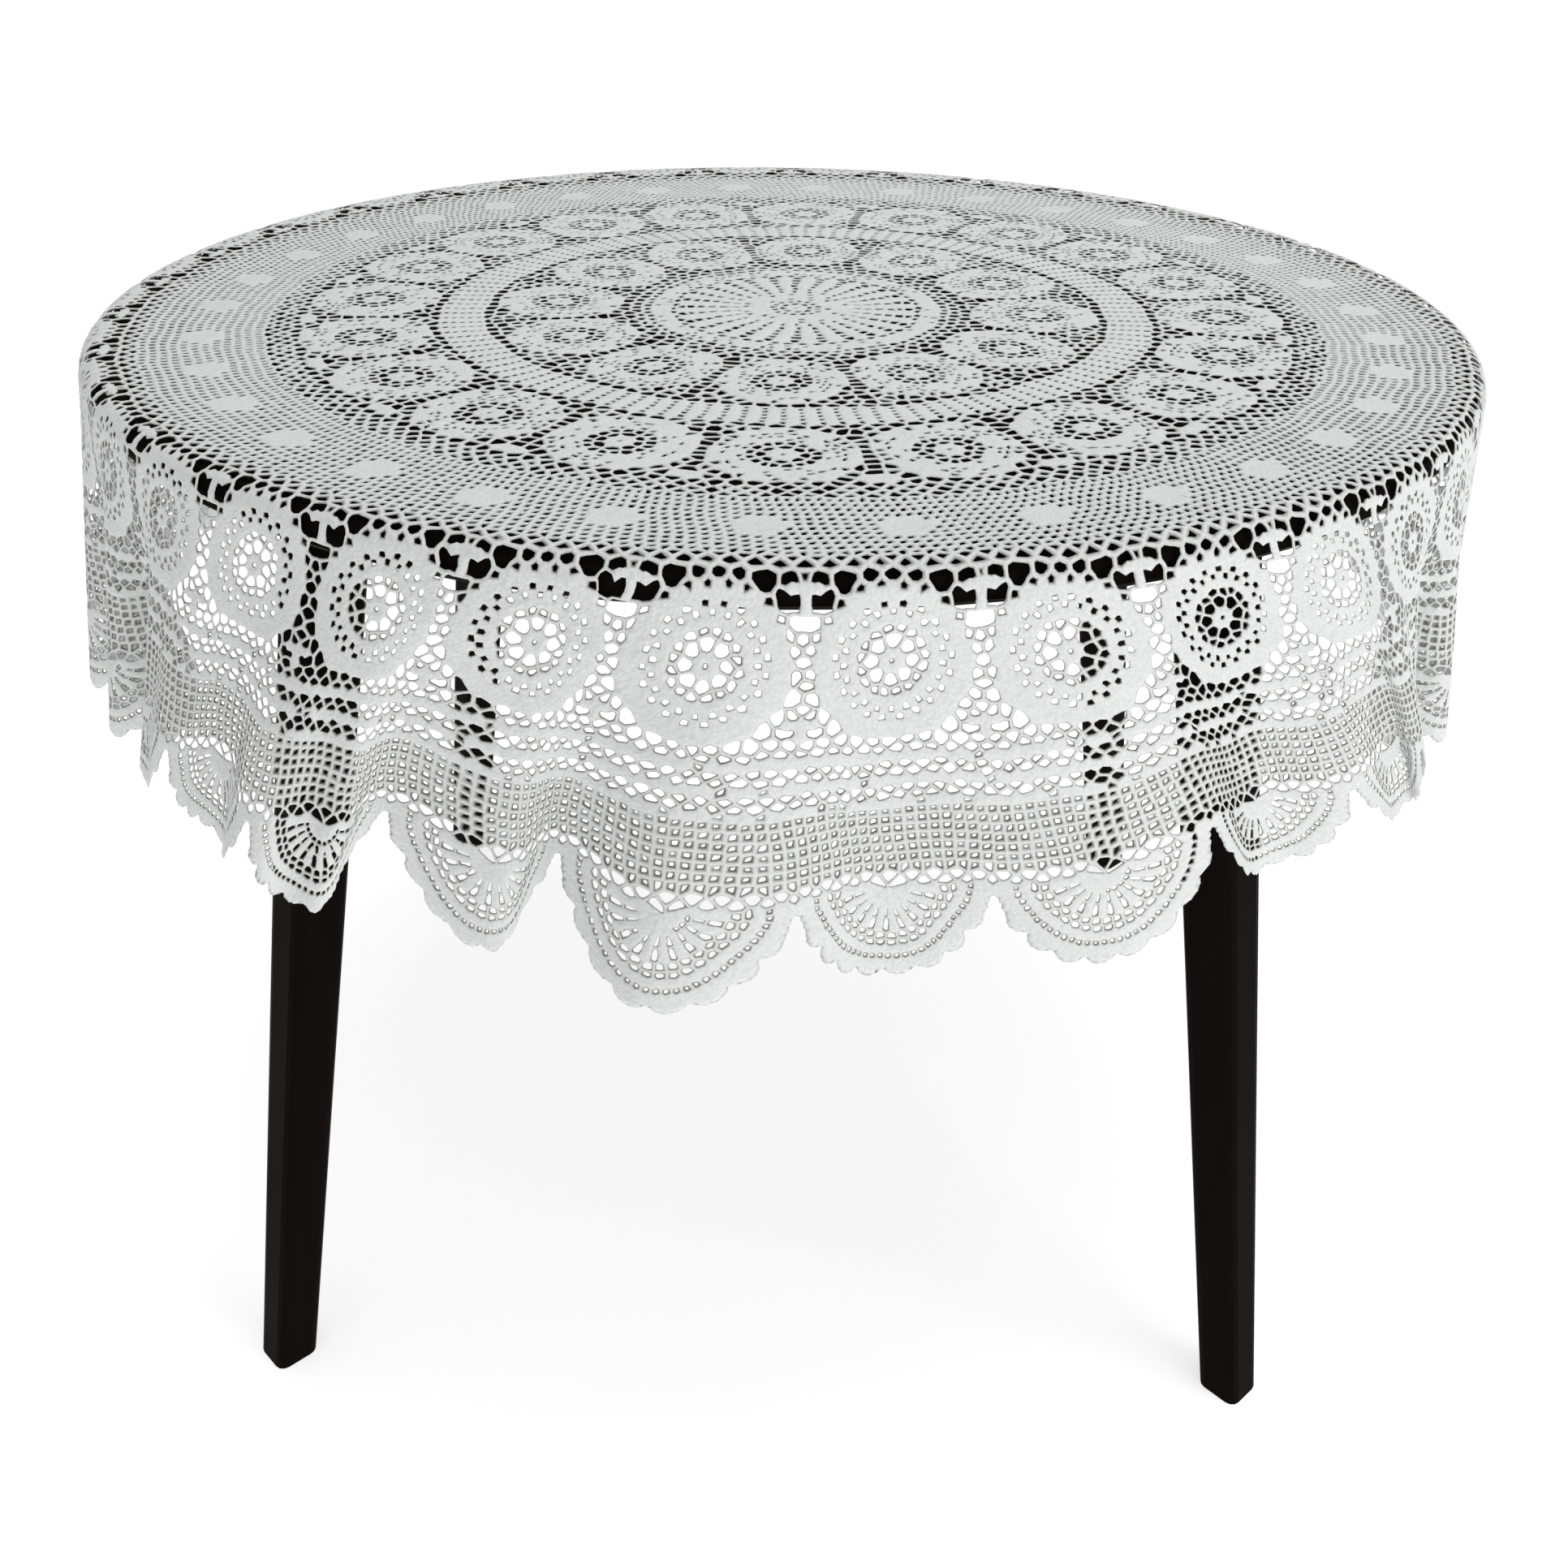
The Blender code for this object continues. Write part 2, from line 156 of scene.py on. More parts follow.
def makeCotton():
    material, shader, wire = newMaterial("cotton_crochet")
    flat = wire.node("ShaderNodeAttribute", {"attribute_name": "flat"}, output=1)           # as a vector
    # how much painted shade each vertex gets towards the hole rims
    depth = wire.node("ShaderNodeAttribute", {"attribute_name": "paintedRimShade"}, output=2)       # as a number
    stitches = wire.node("ShaderNodeTexVoronoi", {"feature": "SMOOTH_F1"}, {
        "Vector": flat, "Scale": cotton["stitchesPerMetre"], "Smoothness": cotton["stitchBlend"]})
    fluff = wire.node("ShaderNodeTexNoise", {}, {
        "Vector": flat, "Scale": cotton["fluffPerMetre"], "Detail": cotton["fluffDetail"]})
    mottle = wire.node("ShaderNodeTexNoise", {}, {
        "Vector": flat, "Scale": cotton["mottlePerMetre"], "Detail": cotton["mottleDetail"]})
    # painted shade in the dips between stitches, where the bump is low, plus the yarn's own mottled tone
    stitchShadeAndMottle = stitches * cotton["stitchShade"] + mottle * cotton["mottleShade"]
    share = wire.maths("ADD", stitchShadeAndMottle, cotton["shadeFrom"], clamp=True)
    yarn = blendColours(wire, share, cotton["light"], cotton["shade"])
    # painted shade towards the hole rims, blended over the yarn colour
    paintedRimShadeMix = wire.maths("POWER", depth, cotton["paintedRimShadePower"]) * cotton["paintedRimShadeShare"]
    feed(shader, "Base Color", blendColours(wire, paintedRimShadeMix, yarn, cotton["paintedRimShade"]))
    height = 1.0 - stitches + fluff * cotton["fluffHeight"]
    feedBump(shader, height, cotton["stitchDepth"], cotton["bumpDistance"])
    shader.inputs["Roughness"].default_value = cotton["roughness"]
    shader.inputs["Sheen Weight"].default_value = cotton["sheen"]
    shader.inputs["Sheen Roughness"].default_value = cotton["sheenRoughness"]
    return material


# Black satin lacquer over open-grained wood
lacquer = {
    "dark": (0.0040, 0.0030, 0.0026, 1.0), "brown": (0.0080, 0.0060, 0.0052, 1.0), "specular": 0.008,
    "roughLow": 0.36, "roughSpan": 0.16, "wearPerMetre": 9.0, "wearDetail": 3.0,
    "grain": (90.0, 90.0, 6.0), "grainDetail": 5.0, "grainDepth": 0.12, "grainRelief": 0.4 * mm,
}


def makeLacquer():
    material, shader, wire = newMaterial("black_lacquer")
    spot = wire.node("ShaderNodeTexCoord", output=3)        # the table's own coordinates
    along = wire.node("ShaderNodeMapping", {}, {"Vector": spot, "Scale": lacquer["grain"]})
    grain = wire.node("ShaderNodeTexNoise", {}, {
        "Vector": along, "Scale": 1.0, "Detail": lacquer["grainDetail"]})
    wear = wire.node("ShaderNodeTexNoise", {}, {
        "Vector": spot, "Scale": lacquer["wearPerMetre"], "Detail": lacquer["wearDetail"]})
    feed(shader, "Base Color", blendColours(wire, grain, lacquer["dark"], lacquer["brown"]))
    feed(shader, "Roughness", wear * lacquer["roughSpan"] + lacquer["roughLow"])
    feedBump(shader, grain, lacquer["grainDepth"], lacquer["grainRelief"])
    shader.inputs["Specular IOR Level"].default_value = lacquer["specular"]
    return material


cottonFinish = makeCotton()
lacquerFinish = makeLacquer()
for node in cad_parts:
    if node != "cloth":
        bpy.data.objects[node].data.materials.clear()
        bpy.data.objects[node].data.materials.append(lacquerFinish)
print("cotton and lacquer mixed")


# How the flat cloth hangs over the round top: the same drape as the solid cloth, in metres
drape = {
    "tableHeight": 0.742, "tableRadius": 0.5, "repeats": 34, "firstTip": 5.8,
    "slip": (0.0085, -0.0195), "clothEdge": 0.750,      # the cloth's centre lies a little off the table's
    "flatLift": 0.0013, "edgeLift": 0.0033, "riseWidth": 0.060,
    "bendRadius": 0.014, "bendOverhang": 0.004,
    "steps": 48, "ease": (-0.15, 0.75), "roomRadius": 0.520,
    "swayGain": 1.2, "swayLimit": 0.8, "leastFall": 0.02, "leastWidth": 0.002, "firstFold": -17,
}
Fold = namedtuple("Fold", "turn out lean tuck")     # degrees, mm, degrees, share; one row for each scallop
folds = [Fold(*row) for row in (
    (0.6, 18, 0.8, 1), (-0.4, 9, -1.5, 0.9), (0.2, 22, 1.2, 1), (-1, 12, 0, 0.8), (-0.6, 26, -1.8, 1),
    (-1.5, 14, 1, 1), (-1.2, 24, 0.6, 0.8), (-2.6, 20, -1.2, 1), (-2.4, 34, 1, 1), (-4, 27, -1, 1),
    (-4.4, 38, 0.5, 1), (-6.2, 30, -1.1, 1), (-8.6, 26, 1, -0.3), (-8.9, 17, 1.9, -0.7),
    (-7.7, 29, -4.5, 0.7), (-5.7, 3, -3, 1), (-3.8, 28, 1.3, 1), (1.3, -15, -0.2, 1.3),
    (6.5, 13, 2.6, 1), (11, -2, 0, -0.6), (13.2, 29, -1.2, -0.3), (10.2, 14, 1.1, 0.9),
    (8.2, 26, -0.8, 1), (5.6, 16, 0.9, 0.9), (4.6, 28, -1.4, 1), (2.8, 14, 0.4, 0.9), (3, 24, 1.3, 1),
    (1.2, 10, -0.6, 0.8), (1.8, 23, -1.3, 1), (0.4, 13, 1.1, 1), (1, 25, 0.2, 0.9), (-0.4, 8, -1, 1),
    (0.8, 20, 1.4, 0.8), (-0.2, 12, -0.4, 1),
)]
repeatAngle = 360.0 / drape["repeats"]
bendStart = drape["tableRadius"] + drape["bendOverhang"] - drape["bendRadius"]
bendLength = drape["bendRadius"] * math.pi / 2


def smoothStep(low, high, value):
    share = np.clip((value - low) / (high - low), 0, 1)
    return share * share * (3 - 2 * share)


def hang(x, y):
    order = [folds[(k - drape["firstFold"]) % len(folds)] for k in range(len(folds))]
    turns, leans, tucks = (np.array([getattr(fold, name) for fold in order])
                           for name in ("turn", "lean", "tuck"))
    outs = np.array([fold.out for fold in order]) * mm
    repeat = (np.degrees(np.arctan2(x, -y)) - drape["firstTip"]) / repeatAngle
    before = np.floor(repeat).astype(int)
    across = repeat - before
    here, after = before % len(folds), (before + 1) % len(folds)
    fromCentre = np.hypot(x, y)
    tableX, tableY = x + drape["slip"][0], y + drape["slip"][1]
    fromAxis, azimuth = np.hypot(tableX, tableY), np.arctan2(tableX, -tableY)
    pastStart = fromAxis - bendStart
    bend = np.clip(pastStart, 0, bendLength) / drape["bendRadius"]
    reach = np.where(pastStart < 0, fromAxis, bendStart + drape["bendRadius"] * np.sin(bend))
    rise = smoothStep(-drape["riseWidth"], 0, pastStart)
    height = drape["flatLift"] + (drape["edgeLift"] - drape["flatLift"]) * rise
    height = height - drape["bendRadius"] * (1 - np.cos(bend))
    hung = np.clip(pastStart - bendLength, 0, None)
    dip = (1 - np.cos(tau * across)) / 2
    blend = smoothStep(0, 1, across)
    stand = (1 - blend) * outs[here] + blend * outs[after]
    turn = (1 - across) * turns[here] + across * turns[after]
    easeStart = smoothStep(*drape["ease"], 0)

    def folded(down):
        share = down / (drape["clothEdge"] - drape["tableRadius"])
        clothWidth = np.maximum((fromCentre - hung + down) * math.radians(repeatAngle), drape["leastWidth"])
        roomAngle = repeatAngle + share * (turns[after] - turns[here])
        room = np.radians(roomAngle) * drape["roomRadius"]
        depth = tucks[here] * np.sqrt(np.clip(clothWidth ** 2 - room ** 2, 0, None)) / 2
        ease = smoothStep(*drape["ease"], share) - easeStart * (1 - share)
        out = stand * share - depth * np.clip(ease, 0, 1) * dip
        slack = np.clip(drape["swayGain"] * (1 - room / clothWidth), 0, drape["swayLimit"])
        sway = slack * roomAngle * np.sin(2 * tau * across) / (2 * tau)
        return out, azimuth + np.radians(share * (turn + leans[here] * dip) + sway)

    step = hung / drape["steps"]
    out, angle = folded(hung * 0)
    for count in range(drape["steps"]):
        nextOut, nextAngle = folded(step * (count + 1))
        sideways = (nextAngle - angle) * (reach + nextOut)
        fall = step ** 2 - (nextOut - out) ** 2 - sideways ** 2
        height = height - np.sqrt(np.clip(fall, drape["leastFall"] * step ** 2, None))
        out, angle = nextOut, nextAngle
    distance = reach + out
    return np.stack([tableCentre.x + distance * np.sin(angle), tableCentre.y - distance * np.cos(angle),
                     drape["tableHeight"] + height], axis=-1)


def hangWithNormals(x, y):
    nudge = 0.3 * mm
    points = hang(x, y)
    sideways, inwards = hang(x + nudge, y) - points, hang(x, y + nudge) - points
    normals = np.cross(sideways, inwards)
    return points, normals / np.linalg.norm(normals, axis=1)[:, None]


# The crochet chart, in millimetres on the flat cloth. Each cell is a hole, and its strand is how far the
# hole's rim is drawn in, half the width of the yarn round it. A cell of closed stitches has no strand.
# Cells of one group run together into one hole. Turns are degrees from the front towards the right.
Cell = namedtuple("Cell", "x y strand group")
chart = []
outside = []        # points beyond the hem, which close the outermost cells
freeGrid = {}
gridStep = 8.0      # mm, of the grid that finds the stitches near a place
dice = random.Random(34)
handmade = {
    "wander": 0.38, "strandSpread": 0.2, "looseWander": 1.35, "looseSpread": 0.46,
    "waves": ((1.0, 71.0, 20.0), (0.8, 113.0, 140.0), (0.7, 47.0, 255.0)),    # mm high, mm long, degrees
}


def place(radius, turn):
    return radius * math.sin(math.radians(turn)), -radius * math.cos(math.radians(turn))


def wavy(x, y):
    newX, newY = x, y
    for high, long, heading in handmade["waves"]:
        aim = math.radians(heading)
        phase = tau * (x * math.cos(aim) + y * math.sin(aim)) / long
        newX -= high * math.sin(aim) * math.sin(phase)
        newY += high * math.cos(aim) * math.sin(phase)
    return newX, newY


def isFree(x, y, gap):
    column, row, reach = int(x // gridStep), int(y // gridStep), int(gap // gridStep) + 1
    for i in range(column - reach, column + reach + 1):
        for j in range(row - reach, row + reach + 1):
            for otherX, otherY in freeGrid.get((i, j), ()):
                if math.hypot(otherX - x, otherY - y) < gap:
                    return False
    return True


def stitch(x, y, strand=None, group=None, gap=0.0, loose=False):
    x, y = wavy(x, y)
    if gap and not isFree(x, y, gap):
        return
    if isinstance(strand, tuple):       # a strand, and the share of these stitches that leave a pinhole
        strand = strand[0] if dice.random() < strand[1] else None
    wander = handmade["looseWander" if loose else "wander"]
    spread = handmade["looseSpread" if loose else "strandSpread"]
    x += dice.uniform(-1, 1) * wander
    y += dice.uniform(-1, 1) * wander
    if strand:
        strand *= 1 + dice.uniform(-1, 1) * spread
    chart.append(Cell(x, y, strand, group))
    freeGrid.setdefault((int(x // gridStep), int(y // gridStep)), []).append((x, y))


def ringOf(radius, count, first=0.0, strand=None, gap=0.0, loose=False):
    for number in range(count):
        stitch(*place(radius, first + 360.0 * number / count), strand, None, gap, loose)


def aroundMotif(centre, turn, radius, angle, squeeze=1.0):
    outward = radius * math.cos(math.radians(angle))
    sideways = radius * math.sin(math.radians(angle)) * squeeze
    fromCentre = math.hypot(centre + outward, sideways)
    return place(fromCentre, turn + math.degrees(math.atan2(sideways, centre + outward)))


def motifRing(motif, radius, count, first=0.0, strand=None, group=None, gap=0.0, loose=False):
    centre, turn, squeeze = motif
    for number in range(count):
        spot = aroundMotif(centre, turn, radius, first + 360.0 * number / count, squeeze)
        stitch(*spot, strand, group and (*group, number), gap, loose)


# The middle: an eyelet in eight petals, closed rings with a few pinholes, columns of holes that widen
# outwards, a ring of wide holes and a band of crossed strands
rosette = {
    "eyelet": 1.7, "hub": 4.5, "petals": 8, "petalRadius": 10.0, "petalStrand": 1.7,
    "slots": (17.5, 16, 2.3),
    "closedRings": ((24.0, 20), (31.0, 26), (38.0, 32)), "pinholes": (2.9, 0.3),
    "columns": 28,
    "columnRows": ((45.0, 2.8), (54.0, 2.6), (62.5, 2.4), (70.5, 2.1), (78.5, 1.8), (85.5, 1.5)),
    "holeRing": (92.5, 56, 1.8), "closedEdge": ((98.0, 100), (104.0, 106)),
    "lattice": ((111.0, 76, 2.3), (118.5, 72, 1.75), (126.0, 72, 1.5)), "latticeGap": 5.0,
}


def chartRosette():
    stitch(0, 0, rosette["eyelet"])
    ringOf(rosette["hub"], rosette["petals"], 180.0 / rosette["petals"])
    ringOf(rosette["petalRadius"], rosette["petals"], 0, rosette["petalStrand"])
    radius, count, strand = rosette["slots"]
    ringOf(radius, count, 180.0 / count, strand, loose=True)
    for radius, count in rosette["closedRings"]:
        ringOf(radius, count, 180.0 / count, rosette["pinholes"])
    half = 180.0 / rosette["columns"]
    for radius, strand in rosette["columnRows"]:
        ringOf(radius, rosette["columns"], 0, strand, loose=True)
        ringOf(radius, rosette["columns"], half)
    radius, count, strand = rosette["holeRing"]
    ringOf(radius, count, half / 2, strand, loose=True)
    for radius, count in rosette["closedEdge"]:
        ringOf(radius, count, 0.0, rosette["pinholes"])
    for number, (radius, count, strand) in enumerate(rosette["lattice"]):
        ringOf(radius, count, 180.0 / count * (number % 2), strand, rosette["latticeGap"], True)


# Two rounds of medallions, with a column of holes between each pair and a bow at the outer columns' ends
innerRound = {
    "centre": 176.5, "count": 12, "first": -3.0, "squeeze": 0.92, "bow": (),
    "columnRows": (137, 146, 154, 162, 170, 178, 186, 194, 202, 211, 221),
    "wideRows": (137, 146, 211, 221),
}
outerRound = {
    "centre": 315.5, "count": 20, "first": -1.4, "squeeze": 1.0,
    "bow": ((0, 354.0), (-4.5, 356.5), (4.5, 356.5)),
    "columnRows": (277, 287, 295, 303, 311, 319, 327, 337, 346), "wideRows": (277, 337, 346),
}
medallion = {
    "eyelet": 2.0, "hub": 5.5, "petals": 8, "petalRadius": 12.0, "petalStrand": 1.25,
    "smallHoles": 16, "smallRadius": 20.0, "smallStrand": 1.2,
    "closedRings": ((26.0, 24), (31.0, 30), (40.5, 34)), "pinholes": (2.7, 0.42),
    "tinyRing": (35.8, 27, (2.9, 0.6)),
    "shellRadius": 46.5, "shellHoles": 25, "shellStrand": 1.45, "shellGap": 7.2,
    "columnStrand": 1.45, "wideStrand": 0.8, "columnGap": 6.5, "bowGap": 4.0,
}


def chartMedallion(motif):
    motifRing(motif, 0.0, 1, 0, medallion["eyelet"])
    motifRing(motif, medallion["hub"], medallion["petals"], 180.0 / medallion["petals"])
    motifRing(motif, medallion["petalRadius"], medallion["petals"], 0, medallion["petalStrand"], loose=True)
    motifRing(motif, medallion["smallRadius"], medallion["smallHoles"], 180.0 / medallion["smallHoles"],
              medallion["smallStrand"], loose=True)
    for radius, count in medallion["closedRings"]:
        motifRing(motif, radius, count, 180.0 / count, medallion["pinholes"])
    radius, count, strand = medallion["tinyRing"]
    motifRing(motif, radius, count, 0, strand, loose=True)


def chartMedallionRound(rounds):
    turns = [rounds["first"] + 360.0 * number / rounds["count"] for number in range(rounds["count"])]
    motifs = [(rounds["centre"], turn, rounds["squeeze"]) for turn in turns]
    for motif in motifs:
        chartMedallion(motif)
    for turn in turns:
        between = turn + 180.0 / rounds["count"]
        for across, radius in rounds["bow"]:
            stitch(*place(radius, between + math.degrees(across / radius)), gap=medallion["bowGap"])
        for radius in rounds["columnRows"]:
            wide = radius in rounds["wideRows"]
            strand = medallion["wideStrand" if wide else "columnStrand"]
            stitch(*place(radius, between), strand, None, medallion["columnGap"], not wide)
    for motif in motifs:
        motifRing(motif, medallion["shellRadius"], medallion["shellHoles"], 0, medallion["shellStrand"],
                  None, medallion["shellGap"], True)


# The band between the rounds: ladders of holes with a ring of holes on either side
ladder = {
    "columns": 128, "first": 0.6, "rows": (234.5, 240.5, 246.5, 252.5, 258.5), "strand": 1.75,
    "overHoles": (228.5, 128, 0.3, 1.25), "underHoles": (264.5, 134, 0.0, 1.25), "holeGap": 5.0,
}


def chartLadder():
    spacing = 360.0 / ladder["columns"]
    ringOf(*ladder["overHoles"], ladder["holeGap"])
    for radius in ladder["rows"]:
        ringOf(radius, ladder["columns"], ladder["first"], ladder["strand"])
        ringOf(radius, ladder["columns"], ladder["first"] + spacing / 2)
    ringOf(*ladder["underHoles"], ladder["holeGap"])


# A band of uneven holes outside the outer round
border = {"rows": ((363.5, 200, 1.65), (369.8, 200, 2.2), (376.0, 200, 1.9), (382.0, 200, 1.8)), "gap": 4.0}


def chartBorder():
    for number, (radius, count, strand) in enumerate(border["rows"]):
        ringOf(radius, count, 180.0 / count * (number % 2), strand, border["gap"], True)


# The upper filet, a net of small square holes with a round block of closed stitches in each repeat
filet = {
    "firstRow": 388.0, "pitch": 6.9, "rows": 12, "columns": 408, "slant": 0.22,
    "strand": 2.18, "firstStrand": 2.4, "firstRows": 2,
    "blocks": 34, "blockTurn": -2.8, "blockRadius": 426.0, "blockHalf": (17.5, 14.0), "blockPower": 1.5,
}


def chartFilet():
    blockAngle, power = 360.0 / filet["blocks"], filet["blockPower"]
    for row in range(filet["rows"]):
        radius = filet["firstRow"] + row * filet["pitch"]
        strand = filet["firstStrand"] if row < filet["firstRows"] else filet["strand"]
        for column in range(filet["columns"]):
            turn = (column + filet["slant"] * row) * 360.0 / filet["columns"]
            fromBlock = (turn - filet["blockTurn"]) % blockAngle
            fromBlock = min(fromBlock, blockAngle - fromBlock)
            across = radius * math.radians(fromBlock) / filet["blockHalf"][0]
            along = (radius - filet["blockRadius"]) / filet["blockHalf"][1]
            closed = abs(across) ** power + abs(along) ** power < 1
            stitch(*place(radius, turn), None if closed else strand)


# Two rows of slits along the edge of the table
rim = {"slits": ((469.2, 238, 1.8), (474.6, 238, 2.5))}


def chartRim():
    for number, (radius, count, strand) in enumerate(rim["slits"]):
        ringOf(radius, count, drape["firstTip"] + 180.0 / count * (number % 2), strand)


# The hanging part repeats 34 times. Across is millimetres from the middle between two medallions, and
# the second figure the distance from the cloth's centre. Each flower is a knot with two wings and a petal.
Hole = namedtuple("Hole", "across radius strand part")      # holes with the same part run together
flowers = (
    {"closed": ((3.2, 487.5), (6.4, 487.7), (0, 487.0), (0, 491.3), (0, 495.2), (0, 498.8)),
     "holes": (
         Hole(4.2, 484.0, 1.4, "above"), Hole(9.0, 484.3, 1.4, "above"), Hole(0, 483.0, 1.6, None),
         Hole(17.8, 484.2, 1.3, "corner"), Hole(23.6, 484.4, 1.3, "corner"),
         Hole(20.7, 488.8, 1.3, "corner"), Hole(3.6, 491.5, 1.3, "beside"),
         Hole(11.4, 491.8, 1.3, "beside"), Hole(3.6, 495.3, 1.3, "beside"),
         Hole(11.4, 495.6, 1.3, "beside"), Hole(3.8, 499.0, 1.3, "beside"),
         Hole(10.2, 499.0, 1.3, "beside"), Hole(19.6, 497.4, 1.2, None), Hole(34.0, 484.2, 1.4, None),
         Hole(30.0, 491.0, 1.3, None), Hole(39.8, 489.4, 1.3, None), Hole(12.6, 506.0, 1.05, None),
         Hole(0.0, 505.6, 1.05, "under"), Hole(4.6, 505.8, 1.05, "under"),
         Hole(0.0, 509.0, 1.05, "under"), Hole(4.4, 509.4, 1.05, "under"),
         Hole(6.8, 515.2, 1.0, None), Hole(0.0, 517.4, 1.0, None))},
    {"closed": ((3.2, 568.0), (6.4, 568.4), (0, 567.4), (0, 571.6), (0, 575.4)),
     "holes": (
         Hole(4.4, 564.2, 1.0, None), Hole(11.5, 564.8, 1.0, None), Hole(18.0, 568.0, 1.2, "corner"),
         Hole(18.0, 572.0, 1.2, "corner"), Hole(5.0, 572.2, 1.05, "beside"),
         Hole(9.6, 572.0, 1.05, "beside"))},
)
drop = {
    "centre": 532.0, "squeeze": 0.95, "eyelet": 1.0, "hub": 4.4,
    "petals": 8, "petalHoles": (9.2, 13.4), "petalStrand": 0.95,
    "smallHoles": 16, "smallRadius": 19.4, "smallStrand": 1.1,
    "darkRings": (28.6, 33.6), "darkHoles": 20, "darkStrand": 0.45,
    "rings": ((24.4, 26), (37.6, 44), (42.0, 44)), "ringGap": 2.6,
    "slits": (46.2, 24, 0.95), "slitGap": 6.0, "crownHole": (484.6, 1.35),
    "columnWidth": 4.6, "columnRows": (524, 531, 538, 545, 552, 559), "columnStrand": 1.0, "columnGap": 4.6,
}


def chartDrop(tip):
    middle, motif = tip + repeatAngle / 2, (drop["centre"], tip, drop["squeeze"])

    def between(across, radius, strand=None, group=None, gap=0.0, loose=False):
        stitch(*place(radius, middle + math.degrees(across / radius)), strand, group, gap, loose)

    for number, flower in enumerate(flowers):
        for across, radius in flower["closed"]:
            for side in (-1, 1) if across else (1,):
                between(side * across, radius)
        for hole in flower["holes"]:
            for side in (-1, 1) if hole.across else (1,):
                whole = hole.part and (tip, number, hole.part, side if hole.part != "under" else 0)
                between(side * hole.across, hole.radius, hole.strand, whole)
    radius, strand = drop["crownHole"]
    stitch(*place(radius, tip), strand)
    motifRing(motif, 0.0, 1, 0, drop["eyelet"])
    motifRing(motif, drop["hub"], drop["petals"], 180.0 / drop["petals"])
    for radius in drop["petalHoles"]:
        motifRing(motif, radius, drop["petals"], 0, drop["petalStrand"], (tip, "petal"))
    motifRing(motif, drop["smallRadius"], drop["smallHoles"], 180.0 / drop["smallHoles"],
              drop["smallStrand"], loose=True)
    step = 360.0 / drop["darkHoles"]
    for number, radius in enumerate(drop["darkRings"]):
        motifRing(motif, radius, drop["darkHoles"], step * number / 2, drop["darkStrand"])
        motifRing(motif, radius, drop["darkHoles"], step * (number + 1) / 2)
    for radius, count in drop["rings"]:
        motifRing(motif, radius, count, gap=drop["ringGap"])
    for number, radius in enumerate(drop["columnRows"]):
        for side in (-1, 1) if number % 2 == 0 else (0,):
            between(side * drop["columnWidth"], radius, drop["columnStrand"], None, drop["columnGap"], True)
    radius, count, strand = drop["slits"]
    motifRing(motif, radius, count, 0, strand, None, drop["slitGap"], True)


# Below the medallions: pairs of uneven rows with a closed row after each, the lower filet, and a zigzag
weave = {
    "openRows": (579.4, 585.3, 595.0, 600.8, 610.3, 616.1), "openCells": 374, "openStrand": 0.97,
    "openGap": 3.5, "closedRows": (589.9, 605.3, 620.6), "closedCells": 578, "pinholes": (2.3, 0.15),
    "filetFirst": 625.6, "filetPitch": 6.6, "filetRows": 7, "filetColumns": 578, "filetStrand": 2.15,
    "filetSlant": 0.1, "zigzag": ((671.4, 306, 0.95), (676.6, 306, 0.95)),
}


def chartWeave():
    for radius in weave["closedRows"]:
        ringOf(radius, weave["closedCells"], 0.0, weave["pinholes"])
    for number, radius in enumerate(weave["openRows"]):
        first = 180.0 / weave["openCells"] * (number % 2)
        ringOf(radius, weave["openCells"], first, weave["openStrand"], weave["openGap"], True)
    for row in range(weave["filetRows"]):
        radius = weave["filetFirst"] + row * weave["filetPitch"]
        first = row * weave["filetSlant"] * 360.0 / weave["filetColumns"]
        ringOf(radius, weave["filetColumns"], first, weave["filetStrand"])
    for number, (radius, count, strand) in enumerate(weave["zigzag"]):
        ringOf(radius, count, drape["firstTip"] + 180.0 / count * number, strand)


# Scallops: fans of closed petals with short slits between them, two rows of small diamonds, a row of
# holes, and an edge of closed shells that ends in bumps with tiny picots
scallop = {
    "centre": 681.0, "notch": 683.0, "tip": 744.5, "breadth": 2.2, "fullness": 0.75,
    "halfAngle": 96.0, "reach": 90.0, "halvings": 24,
    "ladders": 9, "firstSpoke": -88.0, "spokeSpan": 176.0, "ladderFirst": 9.0, "ladderPitch": 3.8,
    "ladderStrand": 0.85, "ladderGap": 2.5, "ladderClear": 3, "cellsInSlit": 2, "petalEnd": 32.5,
    "rows": ((3.4, 5.0, None), (8.4, 5.4, None), (13.2, 5.2, 1.35), (18.0, 5.6, None), (23.2, 7.2, 1.2),
             (28.4, 7.2, 1.15)),
    "rowGap": 3.4, "rowClear": 2, "leastLength": 4,
    "outside": 3.4, "edgePitch": 4.6, "notchOutside": 7.0, "farRing": (800.0, 180), "farFrom": 780,
    "bumps": 10, "bumpDepth": 7.0, "bumpMiddle": 0.66, "bumpPower": 0.6,
    "picot": 0.55, "edgeStep": 1.7, "notchAngles": (64.0, 80.0),
}


def hemRadius(turn):
    across = (turn - drape["firstTip"]) / repeatAngle
    across -= round(across)
    full = (1 - abs(2 * across) ** scallop["breadth"]) ** scallop["fullness"]
    return scallop["notch"] + (scallop["tip"] - scallop["notch"]) * full


def fanLength(angle):
    low, high = 0.0, scallop["reach"]
    for halving in range(scallop["halvings"]):
        middle = (low + high) / 2
        x, y = aroundMotif(scallop["centre"], drape["firstTip"], middle, angle)
        turn = math.degrees(math.atan2(x, -y)) - drape["firstTip"]
        inside = abs(turn) < repeatAngle / 2 and math.hypot(x, y) < hemRadius(turn + drape["firstTip"])
        low, high = (middle, high) if inside else (low, middle)
    return low


